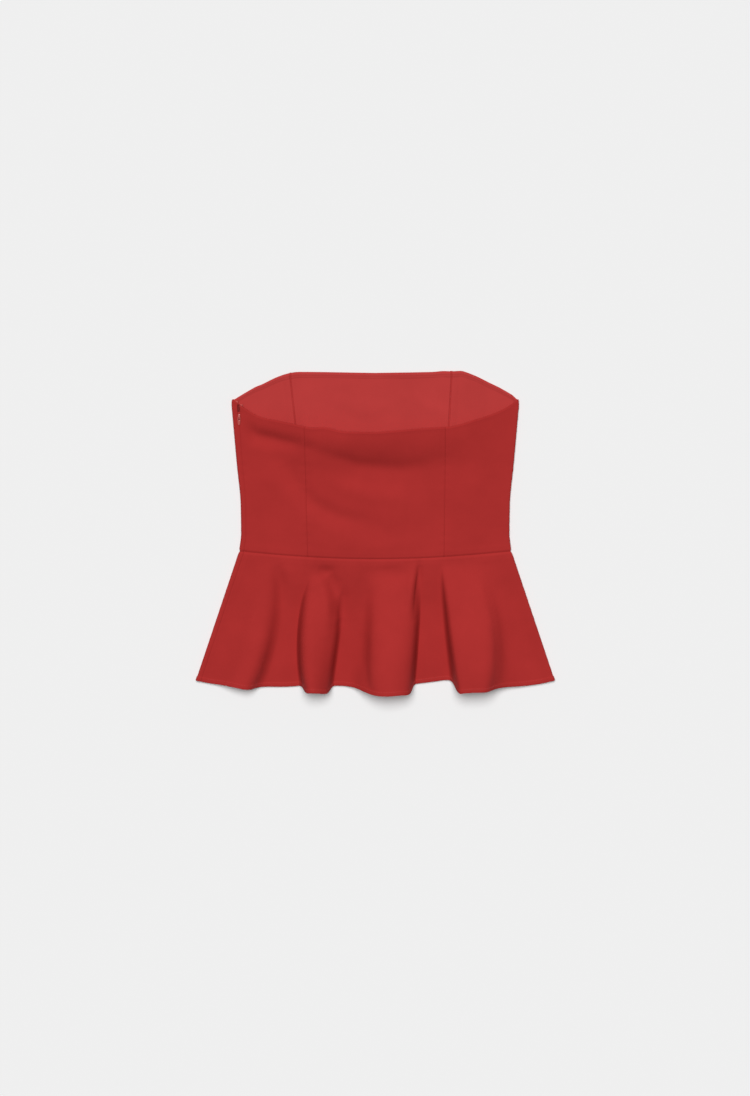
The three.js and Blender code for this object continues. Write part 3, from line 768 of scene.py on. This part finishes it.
def nylon_coil_with_painted_shade():
    """Moulded nylon teeth: a hard, slightly glossy surface with cloudy tone, in a deep wine red that is
    partly their own colour and partly painted shade, so the open zip's slit looks dark.
    """
    material = new_material("wine red nylon with painted shade")
    # The deep tones are partly painted shade for the slit.
    tone = two_tone(material, noise_texture(material, spacing_mm=2, Detail=2.0), "#4E0A0C", "#701416")
    inputs = {"Roughness": 0.45, "Specular IOR Level": 0.3}
    return finish_material(material, inputs, links={"Base Color": (tone, "Color")})


def sewing_thread():
    """Spun polyester thread: a soft lustre, with the dark lines of its twist."""
    twist_mm = 0.6  # coarser than the real 0.3 mm, so that it shows
    material = new_material("red sewing thread")
    twist = wave_texture(material, twist_mm, "DIAGONAL", Distortion=0.4)
    tone = two_tone(material, twist, "#98282A", "#B83A38")
    inputs = {"Roughness": 0.5, "Sheen Weight": 0.1, "Sheen Roughness": 0.4}
    return finish_material(material, inputs, links={"Base Color": (tone, "Color")})


CREPE = crepe("red crepe", "#A62A28", "#AD2D2B")
# The wrong side of the same cloth, a little paler: partly its own paler wrong side and partly painted
# light, for the front's inside that lies open and lit
CREPE_INSIDE_PAINTED_LIGHTER = crepe("red crepe, wrong side, painted lighter", "#B53836", "#BC3B39")
LACQUER_WITH_PAINTED_GLINT = lacquered_metal_with_painted_glint()
TAPE = zip_tape_cloth()
NYLON_WITH_PAINTED_SHADE = nylon_coil_with_painted_shade()
THREAD = sewing_thread()

# Bodice panels: the stops give the places of each panel's edges and of the side fold between them,
# with narrow columns beside each seam
SEAM_MARGIN = 4.0
MARGIN_COLUMNS = 7


def margin_place(level):
    return SEAM_MARGIN / bodice_flat_half(level)


def front_centre_stops(level):
    left = princess_place("front_left", level, 1, front_place)
    right = princess_place("front_right", level, -1, front_place)
    return [left, left + margin_place(level), right - margin_place(level), right]


def front_side_right_stops(level):
    seam = princess_place("front_right", level, 1, front_place)
    return [seam, seam + margin_place(level), 1, RIGHT_SIDE_SEAM - SIDE_SEAM_GAP]


def back_side_right_stops(level):
    seam = princess_place("back_right", level, 1, back_place)
    return [RIGHT_SIDE_SEAM + SIDE_SEAM_GAP, 2, seam - margin_place(level), seam]


def back_centre_stops(level):
    right = princess_place("back_right", level, -1, back_place)
    left = princess_place("back_left", level, 1, back_place)
    return [right, right + margin_place(level), left - margin_place(level), left]


def back_side_left_stops(level):
    seam = princess_place("back_left", level, -1, back_place)
    zip_edge = zip_place(level, HALF_GAP + zip_mouth(level))
    return [seam, seam + margin_place(level), zip_edge - margin_place(level), zip_edge]


def front_side_left_stops(level):
    seam = 6 + princess_place("front_left", level, -1, front_place)
    return [zip_place(level, -HALF_GAP - zip_mouth(level)), 4, 5, seam - margin_place(level), seam]


BODICE_PANELS = {
    "front_centre": (front_centre_stops, [MARGIN_COLUMNS, 80, MARGIN_COLUMNS]),
    "front_side_right": (front_side_right_stops, [MARGIN_COLUMNS, 40, 8]),
    "back_side_right": (back_side_right_stops, [8, 44, MARGIN_COLUMNS]),
    "back_centre": (back_centre_stops, [MARGIN_COLUMNS, 90, MARGIN_COLUMNS]),
    "back_side_left": (back_side_left_stops, [MARGIN_COLUMNS, 40, MARGIN_COLUMNS]),
    "front_side_left": (front_side_left_stops, [6, 14, 40, MARGIN_COLUMNS]),
}
BODICE_LEVELS = row_levels(SIDE_LENGTH, [(HALF_GAP, 0), (5, 10), (SIDE_LENGTH - 13, 84), (SIDE_LENGTH, 22)])


# Towards the side folds the cloth lies calm: where the creases begin to end and have ended, as
# shares of the half width. A seam on a fold is on the outline, so its dip is a quiet one.
BODICE_CALM = {"half_width": 185, "from": 0.86, "to": 0.97}
PEPLUM_CALM = {"from": 0.9, "to": 0.98, "below_seam": 0.1}
ON_FOLD = 0.4


def bodice_detail(point, place, level, from_left, from_right):
    """Height of the cloth's own shape out of the garment, above its plain form."""
    calm = 1 - smoothstep(
        abs(point.x) / BODICE_CALM["half_width"], BODICE_CALM["from"], BODICE_CALM["to"]
    )
    height = unevenness(point) * calm + seam_shape(level * SIDE_LENGTH, point.x, WAIST_DIP)
    from_edge = (1 - level) * SIDE_LENGTH
    if wrap_place(place) <= 1:
        height -= crease_height(FRONT_CREASES, point.x, point.y) * calm
        height += inside_seam_shape(min(from_left, from_right))
        height -= turned_edge(from_edge, INSIDE_NECK_TURN)
    else:
        height += crease_height(BACK_CREASES, point.x, point.y) * calm
        on_fold = abs(wrap_place(place) - RIGHT_SIDE_SEAM) < ON_FOLD
        dip = QUIET_DIP if on_fold else SEAM_DIP
        height += seam_shape(min(from_left, from_right), point.y, dip)
        height += turned_edge(from_edge, NECK_TURN)
    return height


cloth_pieces = {}
for name, (stops_at, counts) in BODICE_PANELS.items():
    cloth_pieces[name] = cloth_shell(
        name + "_cloth", laid_bodice, stops_at, counts, BODICE_LEVELS, bodice_detail, CREPE, CREPE_INSIDE_PAINTED_LIGHTER
    )

# Peplum panels
def back_peplum_stops(down):
    seam = left_seam_place(down, HALF_GAP)
    return [RIGHT_SIDE_SEAM + SIDE_SEAM_GAP, 2, 4 - LINE_STEP, seam]


def front_peplum_stops(down):
    return [left_seam_place(down, -HALF_GAP), 4, 5, 7, 6 + RIGHT_SIDE_SEAM - SIDE_SEAM_GAP]


PEPLUM_PANELS = {
    "back_peplum": (back_peplum_stops, [8, 288, 14]),
    "front_peplum": (front_peplum_stops, [5, 14, 200, 8]),
}
PEPLUM_LEVELS = row_levels(
    PEPLUM_SIDE_LENGTH, [(HALF_GAP, 0), (5, 10), (PEPLUM_SIDE_LENGTH - 11, 72), (PEPLUM_SIDE_LENGTH, 18)]
)


def peplum_detail(point, place, down, from_left, from_right):
    where = wrap_place(place)
    calm = 1 - smoothstep(
        abs(point.x) / peplum_flat_half(down), PEPLUM_CALM["from"], PEPLUM_CALM["to"]
    )
    height = 0.0
    if 2 <= where <= 4:
        height += crease_height(PEPLUM_CREASES, point.x, point.y) * calm
    height += unevenness(point) * calm * smoothstep(down, 0, PEPLUM_CALM["below_seam"])
    height += seam_shape(min(from_left, from_right), point.y, QUIET_DIP)
    height += seam_shape(down * PEPLUM_SIDE_LENGTH, point.x, WAIST_DIP)
    height += turned_edge((1 - down) * PEPLUM_SIDE_LENGTH, HEM_TURN)
    return height


for name, (stops_at, counts) in PEPLUM_PANELS.items():
    cloth_pieces[name] = cloth_shell(
        name + "_cloth", peplum_point, stops_at, counts, PEPLUM_LEVELS, peplum_detail, CREPE, CREPE_INSIDE_PAINTED_LIGHTER
    )

for name, piece in cloth_pieces.items():
    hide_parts(name)

# Stitches: the hem's show outside on the back. On the front, which lies face down, and along both
# necklines they show inside.
STITCH = {"length": 2.6, "gap": 0.7, "width": 0.4}
HEM_STITCHES_UP = 5.4
NECK_STITCHES_DOWN = 2.6
OUTSIDE, INSIDE = 1, -1
STEPS_PER_ROW = 2200
FAR_FROM_SEAM = 99


def stitch_row(name, surface, detail, first, last, level, side):
    bm = bmesh.new()
    pitch = STITCH["length"] + STITCH["gap"]
    size = Matrix.Diagonal((STITCH["length"] * MM, STITCH["width"] * MM, STITCH["width"] * MM, 1))
    travelled = 0.0
    before = surface(first, level)
    for step in range(1, STEPS_PER_ROW + 1):
        place = first + (last - first) * step / STEPS_PER_ROW
        point = surface(place, level)
        travelled += (point - before).length
        if travelled >= pitch:
            travelled -= pitch
            out = unit_normal(surface, place, level)
            along = (point - before).normalized()
            seat = point + out * detail(point, place, level, FAR_FROM_SEAM, FAR_FROM_SEAM)
            seat.z = max(seat.z, CLOTH / 2)
            turn = Matrix((along, out.cross(along), out)).transposed().to_4x4()
            spot = Matrix.Translation(to_frame(seat + out * (side * CLOTH / 2)))
            bmesh.ops.create_uvsphere(
                bm, u_segments=6, v_segments=4, radius=0.5, matrix=spot @ turn @ size
            )
        before = point
    piece = new_object(name, bm, THREAD, "garment")
    return piece


# Each row's sheet, the surface and level that it is sewn at, the places it runs between, and its side
HEM_STITCH_LEVEL = 1 - HEM_STITCHES_UP / PEPLUM_SIDE_LENGTH
NECK_STITCH_LEVEL = 1 - NECK_STITCHES_DOWN / SIDE_LENGTH
AT_HEM = (peplum_point, peplum_detail, HEM_STITCH_LEVEL)
AT_NECK = (laid_bodice, bodice_detail, NECK_STITCH_LEVEL)
STITCH_ROWS = table(("name", "sheet", "at", "between", "side"), [
    ("back_hem", "back_peplum", AT_HEM, (2.03, 3.97), OUTSIDE),
    ("front_hem", "front_peplum", AT_HEM, (-0.98, 0.98), INSIDE),
    ("back_neck", "back_centre", AT_NECK, (2.03, 3.93), INSIDE),
    ("front_neck", "front_centre", AT_NECK, (-0.97, 0.97), INSIDE),
])
stitches_on = {}
for row in STITCH_ROWS:
    surface, detail, level = row["at"]
    first, last = row["between"]
    name = row["name"] + "_stitches"
    stitches_on[row["sheet"]] = stitch_row(name, surface, detail, first, last, level, row["side"])

# Zip: two tapes sewn inside along the seam, a coil of teeth on each, the slider and its pull tab
TAPE_THICKNESS = 0.7
TAPE_WIDTH = 6
TAPE_END = 3
TAPE_FROM_SEAM = 0.35
TAPE_CLEARANCE = 0.15
TAPE_DEPTH = CLOTH / 2 + TAPE_CLEARANCE + TAPE_THICKNESS / 2
TAPE_RIDGE = {"height": 0.1, "at": 1.2}
FRONT_TAPE_PLACE = 4.35
SLIDER_BELOW = 19
SLIDER_LEVEL = 1 - SLIDER_BELOW / SIDE_LENGTH
SLIDER = {
    "inner": {"width": 3.6, "length": 6.0, "height": 1.3, "top": 3.5, "bevel": 0.35},
    "neck": {"width": 1.3, "length": 5.0, "sunk_below": 0.3, "sunk_above": 0.2, "bevel": 0.15},
    "plate": {"width": 3.0, "length": 6.0, "thickness": 0.5, "bottom": 6.35, "bevel": 0.22},
    "bail": {
        "width": 1.1,
        "strap": 0.6,
        "post": 0.7,
        "window_length": 3.4,
        "window_height": 1.5,
        "sunk": 0.2,
    },
}
PULL = {
    "length": 10.5,
    "width": 3.8,
    "tip_width": 2.8,
    "thickness": 0.9,
    "bar": 0.9,
    "eye_length": 3.2,
    "eye_width": 1.9,
    "droop": math.radians(3),
    "bevel": 0.2,
    "tip_steps": 12,
}
TOOTH = {
    "pitch": 1.25,
    "length": 1.5,
    "width": 0.8,
    "height": 0.8,
    "middle": 3.2,
    "aside": 0.42,
    "parted": 0.2,
    "clear": 0.5,
    "from_end": 2.0,
}


def tape_edge(level):
    return TAPE_FROM_SEAM + zip_mouth(level)


def zip_tape_back_stops(level):
    return [zip_place(level, tape_edge(level) + TAPE_WIDTH), zip_place(level, tape_edge(level))]


def zip_tape_front_stops(level):
    return [zip_place(level, -tape_edge(level)), 4, FRONT_TAPE_PLACE]


def tape_detail(point, place, level, from_left, from_right):
    """A tape lies inside the panel, with a small ridge where it is stitched."""
    return -TAPE_DEPTH + TAPE_RIDGE["height"] * math.exp(-((from_left - TAPE_RIDGE["at"]) ** 2))


TAPE_LEVELS = row_levels(SIDE_LENGTH, [(HALF_GAP, 0), (SIDE_LENGTH - 36, 60), (SIDE_LENGTH - TAPE_END, 40)])
for name, stops_at, counts in (
    ("zip_tape_back", zip_tape_back_stops, [12]),
    ("zip_tape_front", zip_tape_front_stops, [4, 6]),
):
    piece = cloth_shell(
        name + "_knit",
        laid_bodice,
        stops_at,
        counts,
        TAPE_LEVELS,
        tape_detail,
        TAPE,
        thickness=TAPE_THICKNESS,
    )
    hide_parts(name)
    cloth_pieces[name] = piece


# The tapes' ends are turned in at the top and stand a little past the neckline.
TAPE_TURN = {"width": 3.4, "past": 1.8, "below": 2.5, "over_mouth": 0.4, "depth": 1.1, "bevel": 0.25}


def add_block(bm, size, middle):
    verts = bmesh.ops.create_cube(bm, size=1)["verts"]
    bmesh.ops.scale(bm, vec=size, verts=verts)
    bmesh.ops.translate(bm, vec=middle, verts=verts)
    return verts


def round_edges(bm, edges, width, segments=3):
    edges = list(edges)
    bmesh.ops.bevel(
        bm, geom=edges, offset=width, segments=segments, profile=0.5, affect="EDGES", material=-1
    )


def tape_turns():
    bm = bmesh.new()
    width, past, below = (TAPE_TURN[part] for part in ("width", "past", "below"))
    aside = ZIP_MOUTH["half_width"] + width / 2 - TAPE_TURN["over_mouth"]
    for side in (-1, 1):
        seat = laid_bodice(zip_place(1.0, side * aside), 1.0)
        middle = (seat.x, seat.y + (past - below) / 2, seat.z - TAPE_TURN["depth"])
        add_block(bm, (width, past + below, TAPE_THICKNESS), middle)
    round_edges(bm, bm.edges, TAPE_TURN["bevel"])
    for vertex in bm.verts:
        vertex.co = to_frame(vertex.co)
    piece = new_object("zip_tape_ends", bm, TAPE, "garment")
    return piece


zip_tape_ends = tape_turns()


def zip_teeth():
    """Teeth along both tapes: closed below the slider, and parted above it, where they show, darkened with
    painted shade.
    """
    bm = bmesh.new()
    start, end = TOOTH["from_end"], SIDE_LENGTH - TAPE_END - TOOTH["from_end"]
    count = int((end - start) / TOOTH["pitch"])
    for i in range(count):
        y = start + i * TOOTH["pitch"]
        level = y / SIDE_LENGTH
        if abs(level - SLIDER_LEVEL) * SIDE_LENGTH < SLIDER["inner"]["length"] / 2 + TOOTH["clear"]:
            continue
        for side in (-1, 1):
            aside = side * (TOOTH["aside"] + TOOTH["parted"] * zip_mouth(level))
            seat = laid_bodice(zip_place(level, aside), level)
            shift = TOOTH["pitch"] / 4 * side
            place = to_frame(Vector((seat.x, y + shift, TOOTH["middle"])))
            size = Vector((TOOTH["length"], TOOTH["width"], TOOTH["height"])) * MM
            tooth = bmesh.ops.create_uvsphere(bm, u_segments=6, v_segments=4, radius=0.5)
            bmesh.ops.scale(bm, vec=size, verts=tooth["verts"])
            bmesh.ops.translate(bm, vec=place, verts=tooth["verts"])
    return new_object("zip_teeth", bm, NYLON_WITH_PAINTED_SHADE, "garment")


def rounded_block(bm, part, bottom, top):
    size = (part["width"], part["length"], top - bottom)
    verts = add_block(bm, size, (0, 0, (top + bottom) / 2))
    round_edges(bm, dict.fromkeys(edge for vertex in verts for edge in vertex.link_edges), part["bevel"])


def seated_metal(name, bm, body):
    """Takes a shape in millimetres round the slider's middle to its seat on the seam."""
    seat = laid_bodice(zip_place(SLIDER_LEVEL, 0), SLIDER_LEVEL)
    bmesh.ops.scale(bm, vec=(MM, MM, MM), verts=bm.verts)
    bmesh.ops.translate(bm, vec=to_frame(Vector((seat.x, seat.y, 0))), verts=bm.verts)
    return new_object(name, bm, LACQUER_WITH_PAINTED_GLINT, body)


def zip_slider():
    """A body inside the seam, a neck through it, and a plate with the pull tab's bail outside."""
    inner, neck, plate, bail = (SLIDER[part] for part in ("inner", "neck", "plate", "bail"))
    plate_top = plate["bottom"] + plate["thickness"]
    bm = bmesh.new()
    rounded_block(bm, inner, inner["top"] - inner["height"], inner["top"])
    rounded_block(bm, neck, inner["top"] - neck["sunk_below"], plate["bottom"] + neck["sunk_above"])
    rounded_block(bm, plate, plate["bottom"], plate_top)
    corner = bail["strap"]
    half_window = bail["window_length"] / 2
    reach = half_window + bail["post"] / 2
    post_top = plate_top + bail["window_height"] + bail["strap"] / 2 - corner
    foot = bmesh.ops.create_grid(bm, x_segments=1, y_segments=1, size=0.5)
    bmesh.ops.scale(bm, vec=(bail["width"], bail["post"], 1), verts=foot["verts"])
    bmesh.ops.translate(bm, vec=(0, -reach, plate_top - bail["sunk"]), verts=foot["verts"])
    section = [face for face in bm.faces if all(v in foot["verts"] for v in face.verts)]

    def pull_out(geometry, step):
        made = bmesh.ops.extrude_face_region(bm, geom=geometry)["geom"]
        verts = [item for item in made if isinstance(item, bmesh.types.BMVert)]
        bmesh.ops.translate(bm, vec=step, verts=verts)
        return [item for item in made if isinstance(item, bmesh.types.BMFace)]

    def bend(geometry, centre):
        made = bmesh.ops.spin(
            bm, geom=geometry, cent=centre, axis=(1, 0, 0), angle=-math.pi / 2, steps=5, use_merge=False
        )["geom_last"]
        return [item for item in made if isinstance(item, bmesh.types.BMFace)]

    face = pull_out(section, (0, 0, post_top - plate_top + bail["sunk"]))
    face = bend(face, (0, -reach + corner, post_top))
    face = pull_out(face, (0, 2 * (reach - corner), 0))
    face = bend(face, (0, reach - corner, post_top))
    pull_out(face, (0, 0, plate_top - bail["sunk"] - post_top))
    bmesh.ops.recalc_face_normals(bm, faces=bm.faces)
    return seated_metal("zip_slider_metal", bm, "garment")


def zip_pull():
    """A flat tab with an eye, whose end bar passes under the bail."""
    bm = bmesh.new()
    half_width, half_tip = PULL["width"] / 2, PULL["tip_width"] / 2
    half_eye, bar_edge = PULL["eye_width"] / 2, PULL["bar"] / 2
    eye_end = -bar_edge - PULL["eye_length"]
    shoulder = eye_end - PULL["bar"]
    tip_centre = half_tip - PULL["length"]
    outer = [(half_width, bar_edge), (half_width, shoulder)]
    tip_turns = [-math.pi * step / PULL["tip_steps"] for step in range(PULL["tip_steps"] + 1)]
    outer += [(half_tip * math.cos(turn), tip_centre + half_tip * math.sin(turn)) for turn in tip_turns]
    outer += [(-half_width, shoulder), (-half_width, bar_edge)]
    eye = [(half_eye, -bar_edge), (half_eye, eye_end), (-half_eye, eye_end), (-half_eye, -bar_edge)]
    loops = []
    for ring in (outer, eye):
        verts = [bm.verts.new((x, y, -PULL["thickness"] / 2)) for x, y in ring]
        loops += [bm.edges.new((a, b)) for a, b in zip(verts, verts[1:] + verts[:1])]
    filled = bmesh.ops.triangle_fill(bm, use_beauty=True, edges=loops)
    faces = [item for item in filled["geom"] if isinstance(item, bmesh.types.BMFace)]
    raised = bmesh.ops.extrude_face_region(bm, geom=faces)["geom"]
    raised_verts = [item for item in raised if isinstance(item, bmesh.types.BMVert)]
    bmesh.ops.translate(bm, vec=(0, 0, PULL["thickness"]), verts=raised_verts)
    bmesh.ops.recalc_face_normals(bm, faces=bm.faces)
    sharp = [edge for edge in bm.edges if edge.calc_face_angle(0) > math.radians(60)]
    round_edges(bm, sharp, PULL["bevel"], segments=2)
    plate, bail = SLIDER["plate"], SLIDER["bail"]
    pivot_z = plate["bottom"] + plate["thickness"] + bail["window_height"] / 2
    bmesh.ops.rotate(bm, matrix=Matrix.Rotation(PULL["droop"], 3, "X"), verts=bm.verts)
    bmesh.ops.translate(bm, vec=(0, 0, pivot_z), verts=bm.verts)
    return seated_metal("zip_pull_metal", bm, "pull_tab")


for piece, node, slot in (
    (zip_teeth(), "zip_coil", "zip_tape"),
    (zip_slider(), "zip_slider", "zip_metal"),
    (zip_pull(), "zip_pull", "zip_metal"),
):
    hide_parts(node)

# The size that each piece of cloth was cut to: the width and length it lies within, and its area.
# The peplums are cut as flared rings, so their pieces lie within a wider rectangle.
CUTS = {
    "front_centre": {"width": 0.214, "length": 0.252, "area": 0.0495},
    "front_side_left": {"width": 0.108, "length": 0.250, "area": 0.0217},
    "front_side_right": {"width": 0.100, "length": 0.250, "area": 0.0218},
    "back_centre": {"width": 0.188, "length": 0.184, "area": 0.0344},
    "back_side_left": {"width": 0.092, "length": 0.212, "area": 0.0162},
    "back_side_right": {"width": 0.102, "length": 0.212, "area": 0.0178},
    "front_peplum": {"width": 0.510, "length": 0.221, "area": 0.0802},
    "back_peplum": {"width": 0.562, "length": 0.243, "area": 0.0901},
}
ON_THE_PIECE = {
    "front_side_left": [cloth_pieces["zip_tape_front"], zip_tape_ends],
    "back_side_left": [cloth_pieces["zip_tape_back"]],
}
for name, cut in CUTS.items():
    on_it = ON_THE_PIECE.get(name, [])
    if name in stitches_on:
        on_it = on_it + [stitches_on[name]]

# Floor, lights and camera
PHOTO_HEIGHT_PX = 1096
MM_PER_PX = 1.33
TILT = math.radians(18)
LENS_MM = 240
SENSOR_MM = 36
TARGET = Vector((-0.0005, WAIST_Y * MM + 0.0042, 0.003))
LIGHT_FROM = Vector((-0.05, 0.52, 1.0))
LIGHT_SPREAD = math.radians(32)
LIGHT_POWER = 3.2
ROOM_LIGHT = 0.11
FLOOR_SIZE = 12
FAR_CLIP = 100


def studio():
    bm = bmesh.new()
    bmesh.ops.create_grid(bm, x_segments=1, y_segments=1, size=FLOOR_SIZE)
    floor_mesh = bpy.data.meshes.new("floor")
    bm.to_mesh(floor_mesh)
    bm.free()
    floor = bpy.data.objects.new("floor", floor_mesh)
    bpy.context.collection.objects.link(floor)
    paper = new_material("pale studio paper")
    inputs = {"Base Color": linear("#EEEEEE"), "Roughness": 1.0, "Specular IOR Level": 0.0}
    floor_mesh.materials.append(finish_material(paper, inputs))

    world = bpy.data.worlds.new("soft room")
    bpy.context.scene.world = world
    world.use_nodes = True
    background = world.node_tree.nodes["Background"]
    background.inputs["Color"].default_value = (1.0, 1.0, 1.0, 1.0)
    background.inputs["Strength"].default_value = ROOM_LIGHT

    # A very wide soft box, far enough off to light the whole floor alike
    data = bpy.data.lights.new("soft box at the top", "SUN")
    data.angle = LIGHT_SPREAD
    data.energy = LIGHT_POWER
    light = bpy.data.objects.new("soft box at the top", data)
    light.rotation_euler = LIGHT_FROM.to_track_quat("Z", "Y").to_euler()
    bpy.context.collection.objects.link(light)

    camera_data = bpy.data.cameras.new("camera")
    camera_data.sensor_fit = "VERTICAL"
    camera_data.sensor_height = SENSOR_MM
    camera_data.sensor_width = SENSOR_MM
    camera_data.lens = LENS_MM
    camera_data.clip_end = FAR_CLIP
    distance = PHOTO_HEIGHT_PX * MM_PER_PX * MM * LENS_MM / SENSOR_MM
    camera = bpy.data.objects.new("camera", camera_data)
    camera.location = TARGET + distance * Vector((0, math.sin(TILT), math.cos(TILT)))
    camera.rotation_euler = (-TILT, 0, 0)
    bpy.context.collection.objects.link(camera)
    bpy.context.scene.camera = camera
    bpy.context.scene.view_settings.view_transform = "Standard"


studio()
